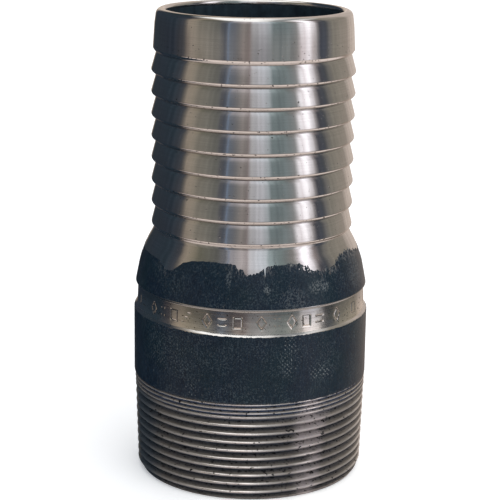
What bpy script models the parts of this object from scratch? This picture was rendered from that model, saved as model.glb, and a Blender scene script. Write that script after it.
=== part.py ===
"""Combination hose nipple: a 2 in hose shank on a 2 in NPT male thread.

The nipple is one length of steel pipe, swaged down at one end, turned into a serrated
hose shank there and threaded at the other end. Black pipe lacquer is left on the two
stretches that no tool touched, and mill scale is left in the bore.
Metres, +Z up. The threaded end stands on the ground, centred on the world's Z axis.
"""
import math

import bmesh
import bpy
from mathutils import Vector

OBJECT_NAME = "combination_hose_nipple"

# Whole part
LENGTH = 0.1197
SEGMENTS = 52
SMOOTH_ANGLE = math.radians(28)
ARC_STEP = math.radians(40)

# The skins of lacquer and scale lie in shallow recesses of the steel
SKIN_THICKNESS = 0.00025
SKIN_GAP = 0.0002
SKIN_DEPTH = SKIN_THICKNESS + SKIN_GAP

# Pipe and bore
PIPE_RADIUS = 0.0301
PIPE_BORE_RADIUS = 0.02625
SHANK_BORE_RADIUS = 0.0224
BORE_CONE_BOTTOM = 0.0445
BORE_CONE_TOP = 0.0632
BORE_BLEND = 0.03
SCALE_BOTTOM = 0.0015
SCALE_TOP = LENGTH - 0.0015

# Thread: 2 in - 11.5 NPT, tapering 1 in 16 on the diameter
THREAD_PITCH = 0.0254 / 11.5
THREAD_TAPER = 1 / 32
THREAD_END_RADIUS = 0.0291
THREAD_DEPTH = 0.00162
THREAD_FULL_LENGTH = 0.0195
THREAD_LENGTH = 0.0256
THREAD_FLANK_ANGLE = math.radians(30)
THREAD_OVERCUT = 0.0002
END_CHAMFER_HEIGHT = 0.0015
END_CHAMFER_DEPTH = 0.001
END_INNER_CHAMFER = 0.0004

# Grip band between the thread and the marking groove
GRIP_BOTTOM = 0.0261
GRIP_TOP = 0.0429

# Marking groove
GROOVE_BOTTOM = 0.0436
GROOVE_BOTTOM_RADIUS = 0.0293
GROOVE_STEP_HEIGHT = 0.0432
GROOVE_STEP_RADIUS = 0.02985
GROOVE_TOP = 0.0492
GROOVE_TOP_RADIUS = 0.0291

# Shoulder, from its sharp lower edge up to the last serration
SHOULDER_EDGE_HEIGHT = 0.0497
SHOULDER_EDGE_RADIUS = 0.02966
SHOULDER_BEND_HEIGHT = 0.0567
SHOULDER_BEND_RADIUS = 0.02825
SHOULDER_BEND_BLEND = 0.012
SHOULDER_LACQUER_TOP = 0.0592
NECK_HEIGHT = 0.0632
NECK_RADIUS = 0.0251
NECK_BLEND = 0.002

# Serrated hose shank
SERRATIONS = 8
SERRATION_PITCH = 0.005575
LAST_EDGE_HEIGHT = 0.06495
NOSE_EDGE_HEIGHT = LAST_EDGE_HEIGHT + SERRATIONS * SERRATION_PITCH
SERRATION_EDGE_RADIUS = 0.0257
SERRATION_ROOT_RADIUS = 0.0246
SERRATION_FALL = 0.00066
EDGE_ROUNDING = 0.0003
NOSE_EDGE_RADIUS = 0.0254
NOSE_TOP_RADIUS = 0.0246
LIP_OUTER_ROUNDING = 0.0012
LIP_INNER_ROUNDING = 0.0004

# Finishes: colour, metallic value, roughness
FINISHES = {
    "turned_steel": ((0.62, 0.62, 0.60), 1.0, 0.28),
    "black_lacquer": ((0.022, 0.028, 0.034), 0.0, 0.42),
    "mill_scale": ((0.030, 0.034, 0.042), 0.3, 0.55),
}


def clear_scene():
    """Remove whatever objects the open file holds."""
    for item in list(bpy.data.objects):
        bpy.data.objects.remove(item, do_unlink=True)


def make_collection(name):
    """Add a collection to the scene."""
    collection = bpy.data.collections.new(name)
    bpy.context.scene.collection.children.link(collection)
    return collection


def make_material(name):
    """Make one of the finishes as a Principled material."""
    colour, metallic, roughness = FINISHES[name]
    material = bpy.data.materials.new(name)
    material.use_nodes = True
    shader = material.node_tree.nodes["Principled BSDF"]
    shader.inputs["Base Color"].default_value = (*colour, 1.0)
    shader.inputs["Metallic"].default_value = metallic
    shader.inputs["Roughness"].default_value = roughness
    material.diffuse_color = (*colour, 1.0)
    return material


def corner_arc(before, corner, after, rounding):
    """Points of the arc that rounds one corner of an outline."""
    towards_before = (before - corner).normalized()
    towards_after = (after - corner).normalized()
    turn = math.pi - towards_before.angle(towards_after)
    cut = rounding * math.tan(turn / 2)
    bisector = (towards_before + towards_after).normalized()
    centre = corner + bisector * (rounding / math.cos(turn / 2))
    spoke = corner + towards_before * cut - centre
    side = math.copysign(1.0, towards_after.cross(towards_before))
    steps = max(1, round(turn / ARC_STEP))
    points = []
    for step in range(steps + 1):
        angle = side * turn * step / steps
        cosine = math.cos(angle)
        sine = math.sin(angle)
        across = spoke.x * cosine - spoke.y * sine
        along = spoke.x * sine + spoke.y * cosine
        points.append(centre + Vector((across, along)))
    return points


def outline_points(corners):
    """Turn a closed run of (radius, height, rounding) corners into outline points."""
    points = []
    for index, (radius, height, rounding) in enumerate(corners):
        corner = Vector((radius, height))
        if rounding == 0:
            points.append(corner)
            continue
        before = Vector(corners[index - 1][:2])
        after = Vector(corners[(index + 1) % len(corners)][:2])
        points.extend(corner_arc(before, corner, after, rounding))
    return points


def screwed_outline(name, points, collection, turns=1, rise=0.0):
    """An object whose closed outline a Screw modifier turns about Z."""
    mesh = bpy.data.meshes.new(name)
    edges = [(index, (index + 1) % len(points)) for index in range(len(points))]
    mesh.from_pydata([(point.x, 0.0, point.y) for point in points], edges, [])
    item = bpy.data.objects.new(name, mesh)
    collection.objects.link(item)
    screw = item.modifiers.new("Turn", "SCREW")
    screw.axis = "Z"
    screw.angle = math.tau
    screw.iterations = turns
    screw.screw_offset = rise
    screw.steps = SEGMENTS
    screw.render_steps = SEGMENTS
    screw.use_merge_vertices = rise == 0.0
    screw.merge_threshold = 0.00001
    screw.use_smooth_shade = True
    return item


def baked_mesh(item):
    """The mesh that an object's modifiers make."""
    bpy.context.view_layer.update()
    depsgraph = bpy.context.evaluated_depsgraph_get()
    return bpy.data.meshes.new_from_object(item.evaluated_get(depsgraph))


def bake_piece(item, material):
    """Make a piece's modifiers permanent, and shade it smooth between sharp edges."""
    mesh = baked_mesh(item)
    item.modifiers.clear()
    item.data = mesh
    mesh.materials.clear()
    mesh.materials.append(material)
    mesh.shade_smooth()
    mesh.set_sharp_from_angle(angle=SMOOTH_ANGLE)


def uncut_thread_radius(height):
    """Radius of the metal that the thread is cut into."""
    return min(PIPE_RADIUS, THREAD_END_RADIUS + THREAD_TAPER * height)


def cutter_lift(height):
    """How far the thread cutter stands back from full depth at a height."""
    past_full = max(0.0, height - THREAD_FULL_LENGTH)
    return (THREAD_DEPTH + THREAD_OVERCUT) * past_full / (THREAD_LENGTH - THREAD_FULL_LENGTH)


def make_thread_cutter(collection):
    """The helical V that is cut out of the pipe, tapered and running out at its top."""
    reach = THREAD_DEPTH + THREAD_OVERCUT
    half_width = reach * math.tan(THREAD_FLANK_ANGLE)
    root_radius = PIPE_RADIUS - THREAD_DEPTH
    start = -1.5 * THREAD_PITCH
    turns = math.ceil((THREAD_LENGTH - start) / THREAD_PITCH)
    groove = [
        Vector((root_radius + reach, start + half_width)),
        Vector((root_radius + reach, start - half_width)),
        Vector((root_radius, start)),
    ]
    straight = screwed_outline("straight_thread", groove, collection, turns, THREAD_PITCH)
    mesh = baked_mesh(straight)
    bpy.data.objects.remove(straight, do_unlink=True)

    shape = bmesh.new()
    shape.from_mesh(mesh)
    for vertex in shape.verts:
        shift = uncut_thread_radius(vertex.co.z) + cutter_lift(vertex.co.z) - PIPE_RADIUS
        outwards = Vector((vertex.co.x, vertex.co.y, 0.0)).normalized()
        vertex.co += outwards * shift
    open_edges = [edge for edge in shape.edges if edge.is_boundary]
    bmesh.ops.holes_fill(shape, edges=open_edges)
    bmesh.ops.recalc_face_normals(shape, faces=shape.faces)
    shape.to_mesh(mesh)
    shape.free()

    cutter = bpy.data.objects.new("thread_cutter", mesh)
    cutter.display_type = "WIRE"
    cutter.hide_render = True
    collection.objects.link(cutter)
    return cutter


def shoulder_radius(height):
    """Radius of the cone between the neck and the shoulder's bend."""
    share = (height - SHOULDER_BEND_HEIGHT) / (NECK_HEIGHT - SHOULDER_BEND_HEIGHT)
    return SHOULDER_BEND_RADIUS + share * (NECK_RADIUS - SHOULDER_BEND_RADIUS)


def shank_corners():
    """The rounded lip, the nose ring and the serrations, downwards."""
    corners = [
        (NOSE_TOP_RADIUS, LENGTH, LIP_OUTER_ROUNDING),
        (NOSE_EDGE_RADIUS, NOSE_EDGE_HEIGHT, EDGE_ROUNDING),
    ]
    for index in reversed(range(SERRATIONS)):
        edge = LAST_EDGE_HEIGHT + index * SERRATION_PITCH
        root = edge + SERRATION_PITCH - SERRATION_FALL
        corners.append((SERRATION_ROOT_RADIUS, root, 0))
        corners.append((SERRATION_EDGE_RADIUS, edge, EDGE_ROUNDING))
    corners.append((NECK_RADIUS, LAST_EDGE_HEIGHT - SERRATION_FALL, 0))
    return corners


def shoulder_corners():
    """The shoulder, sunk under its lacquer, and the marking groove, downwards."""
    lacquer_end = SHOULDER_LACQUER_TOP + SKIN_GAP
    return [
        (NECK_RADIUS, NECK_HEIGHT, NECK_BLEND),
        (shoulder_radius(lacquer_end), lacquer_end, 0),
        (shoulder_radius(lacquer_end) - SKIN_DEPTH, lacquer_end, 0),
        (SHOULDER_BEND_RADIUS - SKIN_DEPTH, SHOULDER_BEND_HEIGHT, SHOULDER_BEND_BLEND),
        (SHOULDER_EDGE_RADIUS - SKIN_DEPTH, SHOULDER_EDGE_HEIGHT, 0),
        (GROOVE_TOP_RADIUS, GROOVE_TOP, 0),
        (GROOVE_BOTTOM_RADIUS, GROOVE_BOTTOM, 0),
        (GROOVE_STEP_RADIUS, GROOVE_STEP_HEIGHT, 0),
        (PIPE_RADIUS, GRIP_TOP + SKIN_GAP, 0),
    ]


def threaded_end_corners():
    """The grip band's recess and the uncut taper of the thread, downwards."""
    sunk_radius = PIPE_RADIUS - SKIN_DEPTH
    return [
        (sunk_radius, GRIP_TOP + SKIN_GAP, 0),
        (sunk_radius, GRIP_BOTTOM - SKIN_GAP, 0),
        (PIPE_RADIUS, GRIP_BOTTOM - SKIN_GAP, 0),
        (uncut_thread_radius(THREAD_LENGTH), THREAD_LENGTH, 0),
        (uncut_thread_radius(END_CHAMFER_HEIGHT), END_CHAMFER_HEIGHT, 0),
        (THREAD_END_RADIUS - END_CHAMFER_DEPTH, 0.0, 0),
    ]


def bore_corners():
    """The bore, sunk under its scale except near both ends, upwards."""
    return [
        (PIPE_BORE_RADIUS + END_INNER_CHAMFER, 0.0, 0),
        (PIPE_BORE_RADIUS, END_INNER_CHAMFER, 0),
        (PIPE_BORE_RADIUS, SCALE_BOTTOM - SKIN_GAP, 0),
        (PIPE_BORE_RADIUS + SKIN_DEPTH, SCALE_BOTTOM - SKIN_GAP, 0),
        (PIPE_BORE_RADIUS + SKIN_DEPTH, BORE_CONE_BOTTOM, BORE_BLEND),
        (SHANK_BORE_RADIUS + SKIN_DEPTH, BORE_CONE_TOP, BORE_BLEND),
        (SHANK_BORE_RADIUS + SKIN_DEPTH, SCALE_TOP + SKIN_GAP, 0),
        (SHANK_BORE_RADIUS, SCALE_TOP + SKIN_GAP, 0),
        (SHANK_BORE_RADIUS, LENGTH, LIP_INNER_ROUNDING),
    ]


def make_body(collection, cutters):
    """The steel nipple: pipe, thread, shoulder and serrated shank in one piece."""
    corners = shank_corners() + shoulder_corners() + threaded_end_corners() + bore_corners()
    body = screwed_outline("nipple_body", outline_points(corners), collection)
    cut = body.modifiers.new("Thread", "BOOLEAN")
    cut.operation = "DIFFERENCE"
    cut.solver = "EXACT"
    cut.object = make_thread_cutter(cutters)
    bake_piece(body, make_material("turned_steel"))


def make_shoulder_lacquer(collection, material):
    """The black ring that the swaged shoulder keeps."""
    top = SHOULDER_LACQUER_TOP
    corners = [
        (shoulder_radius(top), top, 0),
        (SHOULDER_BEND_RADIUS, SHOULDER_BEND_HEIGHT, SHOULDER_BEND_BLEND),
        (SHOULDER_EDGE_RADIUS, SHOULDER_EDGE_HEIGHT, 0),
        (SHOULDER_EDGE_RADIUS - SKIN_THICKNESS, SHOULDER_EDGE_HEIGHT, 0),
        (SHOULDER_BEND_RADIUS - SKIN_THICKNESS, SHOULDER_BEND_HEIGHT, SHOULDER_BEND_BLEND),
        (shoulder_radius(top) - SKIN_THICKNESS, top, 0),
    ]
    bake_piece(screwed_outline("shoulder_lacquer", outline_points(corners), collection), material)


def make_grip_lacquer(collection, material):
    """The black band between the thread and the marking groove."""
    corners = [
        (PIPE_RADIUS, GRIP_TOP, 0),
        (PIPE_RADIUS, GRIP_BOTTOM, 0),
        (PIPE_RADIUS - SKIN_THICKNESS, GRIP_BOTTOM, 0),
        (PIPE_RADIUS - SKIN_THICKNESS, GRIP_TOP, 0),
    ]
    bake_piece(screwed_outline("grip_lacquer", outline_points(corners), collection), material)


def make_bore_scale(collection, material):
    """The dark scale left inside the pipe."""
    corners = [
        (SHANK_BORE_RADIUS + SKIN_THICKNESS, SCALE_TOP, 0),
        (SHANK_BORE_RADIUS + SKIN_THICKNESS, BORE_CONE_TOP, BORE_BLEND),
        (PIPE_BORE_RADIUS + SKIN_THICKNESS, BORE_CONE_BOTTOM, BORE_BLEND),
        (PIPE_BORE_RADIUS + SKIN_THICKNESS, SCALE_BOTTOM, 0),
        (PIPE_BORE_RADIUS, SCALE_BOTTOM, 0),
        (PIPE_BORE_RADIUS, BORE_CONE_BOTTOM, BORE_BLEND),
        (SHANK_BORE_RADIUS, BORE_CONE_TOP, BORE_BLEND),
        (SHANK_BORE_RADIUS, SCALE_TOP, 0),
    ]
    bake_piece(screwed_outline("bore_scale", outline_points(corners), collection), material)


def main():
    """Build the nipple in a fresh scene."""
    clear_scene()
    parts = make_collection(OBJECT_NAME)
    cutters = make_collection("cutters")
    cutters.hide_render = True
    make_body(parts, cutters)
    lacquer = make_material("black_lacquer")
    make_shoulder_lacquer(parts, lacquer)
    make_grip_lacquer(parts, lacquer)
    make_bore_scale(parts, make_material("mill_scale"))


main()
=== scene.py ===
import math

import bmesh
import bpy
import numpy as np
from mathutils import Matrix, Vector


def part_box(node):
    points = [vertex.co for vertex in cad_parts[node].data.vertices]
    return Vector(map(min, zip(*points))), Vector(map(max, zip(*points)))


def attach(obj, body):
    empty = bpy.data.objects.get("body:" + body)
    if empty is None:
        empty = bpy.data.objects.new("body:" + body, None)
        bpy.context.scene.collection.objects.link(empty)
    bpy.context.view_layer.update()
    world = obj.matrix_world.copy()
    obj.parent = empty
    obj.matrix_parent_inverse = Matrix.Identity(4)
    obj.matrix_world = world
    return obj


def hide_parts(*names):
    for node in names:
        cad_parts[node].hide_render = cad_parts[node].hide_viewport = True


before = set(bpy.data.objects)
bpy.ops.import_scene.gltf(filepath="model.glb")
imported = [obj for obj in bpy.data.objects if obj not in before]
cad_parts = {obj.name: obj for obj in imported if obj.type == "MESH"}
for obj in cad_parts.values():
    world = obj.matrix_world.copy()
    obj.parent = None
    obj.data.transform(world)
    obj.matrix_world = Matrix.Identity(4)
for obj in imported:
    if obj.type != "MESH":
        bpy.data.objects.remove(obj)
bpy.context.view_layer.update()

BODY_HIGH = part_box("nipple_body")[1]
LENGTH = BODY_HIGH.z * 1000
PIPE_RADIUS = BODY_HIGH.x * 1000
# Columns of points round a turned surface, and a multiple of them where there is fine detail
COLUMNS = 226
GROOVE_COLUMNS = 4 * COLUMNS
SHOULDER_FILM_COLUMNS = 5 * COLUMNS
GRIP_FILM_COLUMNS = 4 * COLUMNS
MERGE = 2e-6
random = np.random.default_rng(7)

# Lacquer and scale: the lacquer's thickness, and how far its back lies under the steel
FILM = 0.09
SINK = 0.02
GRIP_LOW, GRIP_HIGH = (corner.z * 1000 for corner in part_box("grip_lacquer"))
SHOULDER_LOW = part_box("shoulder_lacquer")[0].z * 1000
SCALE_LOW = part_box("bore_scale")[0].z * 1000
SCALE_HIGH = LENGTH - 1.45
PIPE_BORE = 26.25
SHANK_BORE = 22.1
BORE_CONE = (44.5, 63.2)
SCALE_FILM = 0.04
# A film thins out this near its edges, and the band's film hangs this far over the thread
FILM_EDGE = 0.12
GRIP_HANG = 0.35

# Shank, shoulder and groove. A pair is a radius and a height.
STEPS = 8
STEP_PITCH = 5.575
LAST_EDGE = 64.95
NOSE_EDGE = LAST_EDGE + STEPS * STEP_PITCH
LIP_RADIUS = 24.4
LIP_ROUNDING = 0.8
LIP_OUTER_ROUNDING = 1.55
# The lip is cut a little out of square: how much lower it is at the back, and how far down
# from the lip the slant fades out
LIP_DROP = 0.85
LIP_REACH = 4
NOSE_TOP_RADIUS = 24.9
NOSE_EDGE_RADIUS = 25.29
NOSE_EDGE_ROUNDING = 0.5
# The steps' edges, which grow a little from each to the one above it
EDGE_RADIUS = 25.66
EDGE_GROWTH = 0.015
EDGE_ROUNDING = 0.6
NECK = (25.1, 63.2)
SHOULDER_EDGE = (29.66, 49.75)
GROOVE_TOP = (29.1, 49.15)
GROOVE_BOTTOM = (29.35, 43.42)
GROOVE_STEP = (29.9, 43.02)
# Hollows under each step's edge and under the last one: radius, and drop below the edge
STEP_HOLLOW = [(24.66, 0.90), (24.41, 1.06), (24.53, 1.32), (24.68, 1.7), (24.80, 2.1)]
LAST_HOLLOW = [(24.85, 0.86), (24.82, 1.0), (25.0, 1.55)]
# Pits gather near the steps' edges: between these heights, and outside this radius
STEP_ZONE = (60, 112)
STEP_ZONE_RADIUS = 24
# How uneven the turned surfaces are
SHANK_WAVER = 0.01
SHOULDER_DENT = 0.008
GROOVE_RUB = 0.012
GROOVE_RING = 0.006
# The shoulder's outline, from its sharp lower edge up to the neck
SHOULDER_CURVE = [
    (29.66, 49.75), (29.27, 51.7), (28.83, 54.0), (28.36, 56.0), (27.76, 57.6), (27.28, 59.0),
    (26.67, 60.4), (26.29, 61.1), (25.90, 61.8), (25.50, 62.5), (25.10, 63.2),
]

# Thread: it is full up to one height, ends at another, and would run out at a third
PITCH = 25.4 / 11.5
THREAD_FULL = 19.5
THREAD_TOP = 25.9
RUN_OUT_TOP = 27.1
THREAD_DEPTH = 1.55
CREST_ROUNDING = 0.24
# How far down a crest wear reaches, and how much wear and chips take off it
CREST_LAND = 0.4
CREST_WEAR = 0.05
CREST_CHIP = 0.12
# Above this height the die chattered, and left two shallow grooves in each pitch
CHATTER_START = 22.0
CHATTER_RAMP = 0.7
CHATTER_DEPTH = 0.5
# How much of the painted underside shade the full thread's downward-facing flanks get
UNDERSIDE_SHADE = 0.6
CREST_AT_END = 29.2
CREST_TAPER = 1 / 32
# The die cut the thread this far off centre, towards +X
OFF_CENTRE = 0.1
UNDER_GRIP = PIPE_RADIUS - FILM
# The threaded end's chamfers: the outer one's radius at the end and its height, and the inner
# one's size
END_CHAMFER = (28.1, 1.6)
END_INNER_CHAMFER = 0.4


# ---------------------------------------------------------------- shapes

def smooth_step(value):
    """0 below 0, 1 above 1, and a smooth rise between."""
    value = np.clip(value, 0.0, 1.0)
    return value * value * (3 - 2 * value)


def ring_noise(knots, smooth=True):
    """A random wave round the circle, from -1 to 1, with that many knots."""
    values = random.uniform(-1, 1, knots)

    def wave(azimuth):
        place = np.mod(azimuth / 360, 1) * knots
        index = np.floor(place).astype(int)
        share = place - index
        if smooth:
            share = smooth_step(share)
        return values[index % knots] * (1 - share) + values[(index + 1) % knots] * share

    return wave


def patch_noise(knots, low, high, layers):
    """A random field over azimuth and height, from -1 to 1."""
    waves = [ring_noise(knots) for _ in range(layers + 1)]

    def field(azimuth, height):
        place = np.clip((height - low) / (high - low), 0, 1) * layers
        total = np.zeros(np.broadcast(azimuth, height).shape)
        for index, wave in enumerate(waves):
            total += wave(azimuth) * np.clip(1 - np.abs(place - index), 0, 1)
        return total

    return field


def rounded(corners, arc_step=15):
    """Turn an open run of (radius, height, rounding) corners into outline points."""
    points = []
    for index, (radius, height, rounding) in enumerate(corners):
        here = np.array((radius, height))
        if rounding == 0:
            points.append(here)
            continue
        before = np.array(corners[index - 1][:2]) - here
        after = np.array(corners[index + 1][:2]) - here
        before /= np.hypot(*before)
        after /= np.hypot(*after)
        turn = math.pi - math.acos(float(before @ after))
        bisector = (before + after) / np.hypot(*(before + after))
        middle = here + bisector * rounding / math.cos(turn / 2)
        spoke = here + before * rounding * math.tan(turn / 2) - middle
        side = math.copysign(1, after[0] * before[1] - after[1] * before[0])
        steps = max(2, round(math.degrees(turn) / arc_step))
        for step in range(steps + 1):
            angle = side * turn * step / steps
            cosine, sine = math.cos(angle), math.sin(angle)
            across = spoke[0] * cosine - spoke[1] * sine
            along = spoke[0] * sine + spoke[1] * cosine
            points.append(middle + (across, along))
    return points


def azimuths(columns):
    """Azimuths of a ring of columns, with the first repeated at the end."""
    return np.linspace(0, 360, columns + 1)


def ring(radius, height, columns=COLUMNS):
    """One row of a turned surface: azimuths, radii and heights."""
    around = azimuths(columns)
    return around, radius + 0 * around, height + 0 * around


def strip_faces(first, above, second, below):
    """Faces between two rows of points; one row may have more columns by a whole factor."""
    faces = []
    many = max(above, below)
    for column in range(many):
        top = first + column * above // many
        next_top = first + (column + 1) * above // many
        bottom = second + column * below // many
        next_bottom = second + (column + 1) * below // many
        face = [top, bottom]
        if next_bottom != bottom:
            face.append(next_bottom)
        if next_top != top:
            face.append(next_top)
        faces.append(face)
    return faces


def out_of_square(around, height):
    """How much lower the lip's slanting cut puts a point near the top."""
    near_top = smooth_step((height - LENGTH + LIP_REACH) / LIP_REACH)
    return LIP_DROP * near_top * (1 - np.cos(np.radians(around))) / 2


def skin_piece(name, rows, sharp=32):
    """A closed turned piece from its rows, which run down outside and back up inside."""
    rows = rows + [rows[0]]
    points = []
    faces = []
    start = 0
    for index, (around, radius, height) in enumerate(rows):
        turn = np.radians(around)
        lowered = height - out_of_square(around, height)
        points.append(np.stack([radius * np.sin(turn), -radius * np.cos(turn), lowered], axis=1))
        if index:
            above = len(rows[index - 1][0]) - 1
            faces += strip_faces(start - above - 1, above, start, len(around) - 1)
        start += len(around)
    mesh = bpy.data.meshes.new(name)
    mesh.from_pydata((np.concatenate(points) / 1000).tolist(), [], faces)
    shape = bmesh.new()
    shape.from_mesh(mesh)
    bmesh.ops.remove_doubles(shape, verts=shape.verts, dist=MERGE)
    shape.to_mesh(mesh)
    shape.free()
    mesh.shade_smooth()
    mesh.set_sharp_from_angle(angle=math.radians(sharp))
    item = bpy.data.objects.new(name, mesh)
    bpy.context.scene.collection.objects.link(item)
    return item


def polar(mesh):
    """Azimuth, radius and height of a mesh's points, in degrees and millimetres."""
    points = np.zeros(len(mesh.vertices) * 3)
    mesh.vertices.foreach_get("co", points)
    x, y, z = points.reshape(-1, 3).T * 1000
    return np.degrees(np.arctan2(x, -y)), np.hypot(x, y), z


def set_attribute(mesh, name, values):
    """Keep one number for each point, for the material to read."""
    layer = mesh.attributes.new(name, "FLOAT", "POINT")
    layer.data.foreach_set("value", values.astype(np.float32))


# ---------------------------------------------------------------- outlines

def shoulder_outline(height):
    """Radius of the finished shoulder, lacquer included, at a height."""
    radii, heights = np.array(SHOULDER_CURVE).T
    blend = np.clip(np.minimum(height - heights[0], heights[-1] - height) / 2, 0, 0.5)
    return sum(np.interp(height + shift * blend, heights, radii) for shift in (-1, -0.5, 0, 0.5, 1)) / 5


# Height of the lacquer's torn edge round the shoulder, front first, then on round the back
TORN_START = -81
TORN_EDGE = [
    (TORN_START, 58.5), (-62, 58.5), (-56, 58.2), (-48, 56.7), (-44, 56.9), (-38, 59.2), (-33, 60.0),
    (-22, 60.5), (-8, 60.3), (-7, 59.3), (-4, 59.1), (-3, 58.0), (2, 58.1), (6, 59.0), (9, 60.0),
    (20, 60.2), (25, 60.1), (31, 59.4), (32, 58.6), (36, 57.9), (40, 57.8), (43, 58.5), (45, 57.9),
    (49, 58.4), (54, 60.3), (60, 60.7), (70, 60.3), (82, 58.9), (88, 58.6), (97, 59.6), (112, 60.4),
    (126, 60.1), (133, 58.4), (141, 57.9), (150, 58.8), (158, 60.2), (176, 60.5), (190, 59.7),
    (201, 58.1), (207, 58.3), (219, 60.1), (237, 60.6), (256, 59.9), (268, 59.0),
]
# How rough that edge is, by azimuth
TORN_ROUGHNESS = [
    (TORN_START, 0.3), (-20, 0.4), (-10, 1.3), (48, 1.6), (54, 3.0), (76, 3.2), (90, 0.9), (150, 1.0),
    (200, 0.5), (279, 0.3),
]
# Narrow slits that the tool tore below it: azimuth, width in degrees, depth
SLITS = [
    (7.2, 0.9, 2.4), (40.8, 1.0, 1.0), (43.6, 0.8, 1.3), (30.2, 0.8, 0.7), (-6.2, 0.7, 0.6),
    (52.0, 0.9, 1.0), (140.0, 0.9, 1.6), (205.0, 0.8, 1.2), (129.5, 0.7, 0.9),
]


def from_torn_start(azimuth):
    """The azimuth, counted on from where the torn edge's tables start."""
    return np.mod(azimuth - TORN_START, 360) + TORN_START


def torn_height():
    """A function that gives the torn edge's height at an azimuth."""
    angles, heights = np.array(TORN_EDGE).T
    rough = ring_noise(640, smooth=False)
    ripple = ring_noise(150)

    def height(azimuth):
        turned = from_torn_start(azimuth)
        base = np.interp(turned, [*angles, TORN_START + 360], [*heights, heights[0]])
        roughness = np.interp(turned, *zip(*TORN_ROUGHNESS))
        base = base + roughness * (0.16 * rough(azimuth) + 0.10 * ripple(azimuth))
        for middle, width, depth in SLITS:
            away = np.abs(turned - middle) / (width / 2)
            base = base - depth * np.clip(1 - away, 0, 1)
        return base

    return height


# ---------------------------------------------------------------- steel

# Worn stretches of the thread: azimuth, height, half width in degrees, half height, strength
THREAD_RUBS = [(31, 13, 9, 18, 1), (36, 21, 8, 4, 1), (160, 10, 22, 14, 0.9), (246, 14, 14, 16, 0.9)]
# How bright the crests are round the thread, partly real burnish and partly painted highlight, with
# painted shade on the flanks where it is low: azimuth, share. It is more by the constant below on the
# shallow grooves.
BURNISH_AND_PAINTED_LIGHT = [
    (-100, 0.3), (-75, 0), (-60, 0.02), (-50, 0.1), (-40, 0.3), (-28, 0.55), (-18, 1), (0, 1),
    (10, 0.5), (20, 0.15), (31, 0.85), (40, 0.12), (56, 0.2), (70, 0.7), (120, 0.9), (200, 0.7),
    (260, 0.3),
]
RUN_OUT_BURNISH_AND_PAINTED_LIGHT = 0.3


def soft_patches(azimuth, height, patches):
    """Each patch's strength inside it, falling softly to 0 round it."""
    inside = np.zeros(np.broadcast(azimuth, height).shape)
    for middle, level, half_width, half_height, strength in patches:
        turn = (np.mod(azimuth - middle + 180, 360) - 180) / half_width
        away = np.hypot(turn, (height - level) / half_height)
        inside = np.maximum(inside, strength * smooth_step((1.15 - away) / 0.6))
    return inside


def crest_radius(azimuth, height):
    """Radius of the thread's crests at an azimuth and height."""
    off_centre = OFF_CENTRE * np.sin(np.radians(azimuth))
    return np.minimum(UNDER_GRIP, CREST_AT_END + CREST_TAPER * height + off_centre)


def thread_phase(azimuth, height):
    """0 on a crest and 0.5 in a root, for a right-hand thread."""
    return np.mod(height / PITCH - azimuth / 360, 1)


def doubled(height):
    """0 on the full thread, 1 where the die left two shallow grooves in each pitch."""
    return smooth_step((height - CHATTER_START) / CHATTER_RAMP)


def thread_depth(height):
    """Depth of the thread at a height: full, then running out, then shallow."""
    run_out = np.clip((RUN_OUT_TOP - height) / (RUN_OUT_TOP - THREAD_FULL), 0, 1)
    return THREAD_DEPTH * run_out * (1 - doubled(height)) + CHATTER_DEPTH * doubled(height)


def make_thread_radius():
    """A function that gives the thread's radius at an azimuth and height."""
    wear = patch_noise(70, 0, THREAD_TOP, 14)
    chips = patch_noise(120, 0, THREAD_TOP, 24)

    def groove(phase):
        away = 1 - np.abs(np.mod(phase, 1) - 0.5) * 2
        deepest = math.hypot(1, CREST_ROUNDING) - CREST_ROUNDING
        return (np.hypot(away, CREST_ROUNDING) - CREST_ROUNDING) / deepest

    def radius(azimuth, height):
        phase = thread_phase(azimuth, height)
        share = doubled(height)
        cut = thread_depth(height) * (groove(phase) * (1 - share) + groove(2 * phase) * share)
        on_crest = 1 - np.clip(cut / CREST_LAND, 0, 1)
        cut = cut + CREST_WEAR * np.clip(wear(azimuth, height), 0, 1) * on_crest
        cut = cut + CREST_CHIP * np.clip(chips(azimuth, height) * 3 - 1.8, 0, 1) * on_crest
        chamfer = END_CHAMFER[0] + (crest_radius(azimuth, 0) - END_CHAMFER[0]) * height / END_CHAMFER[1]
        return np.minimum(crest_radius(azimuth, height) - cut, chamfer)

    return radius


def shank_rows():
    """The lip, the nose ring and the serrations, downwards from the bore's edge."""
    corners = [
        (SHANK_BORE, SCALE_HIGH, 0),
        (SHANK_BORE, LENGTH, LIP_ROUNDING),
        (LIP_RADIUS, LENGTH, LIP_OUTER_ROUNDING),
        (NOSE_TOP_RADIUS, LENGTH - LIP_REACH, 0),
        (NOSE_EDGE_RADIUS, NOSE_EDGE, NOSE_EDGE_ROUNDING),
    ]
    for step in reversed(range(STEPS)):
        edge_above = LAST_EDGE + (step + 1) * STEP_PITCH
        corners += [(radius, edge_above - drop, 0) for radius, drop in STEP_HOLLOW]
        corners.append((EDGE_RADIUS + EDGE_GROWTH * step, LAST_EDGE + step * STEP_PITCH, EDGE_ROUNDING))
    corners += [(radius, LAST_EDGE - drop, 0) for radius, drop in LAST_HOLLOW]
    waver = ring_noise(80)
    rows = []
    for radius, height in rounded(corners):
        around, radii, heights = ring(radius, height)
        rows.append((around, radii + SHANK_WAVER * waver(around + height * 9), heights))
    return rows


def shoulder_rows():
    """The turned shoulder, and on down under its lacquer to its sharp lower edge."""
    dents = patch_noise(60, SHOULDER_EDGE[1], NECK[1], 9)
    rows = []
    for height in np.linspace(NECK[1], SHOULDER_EDGE[1], 24):
        around = azimuths(COLUMNS)
        sink = FILM * smooth_step((NECK[1] - height) / 1.5)
        radii = shoulder_outline(height) - sink + SHOULDER_DENT * dents(around, height)
        rows.append((around, radii, height + 0 * around))
    return rows


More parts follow.
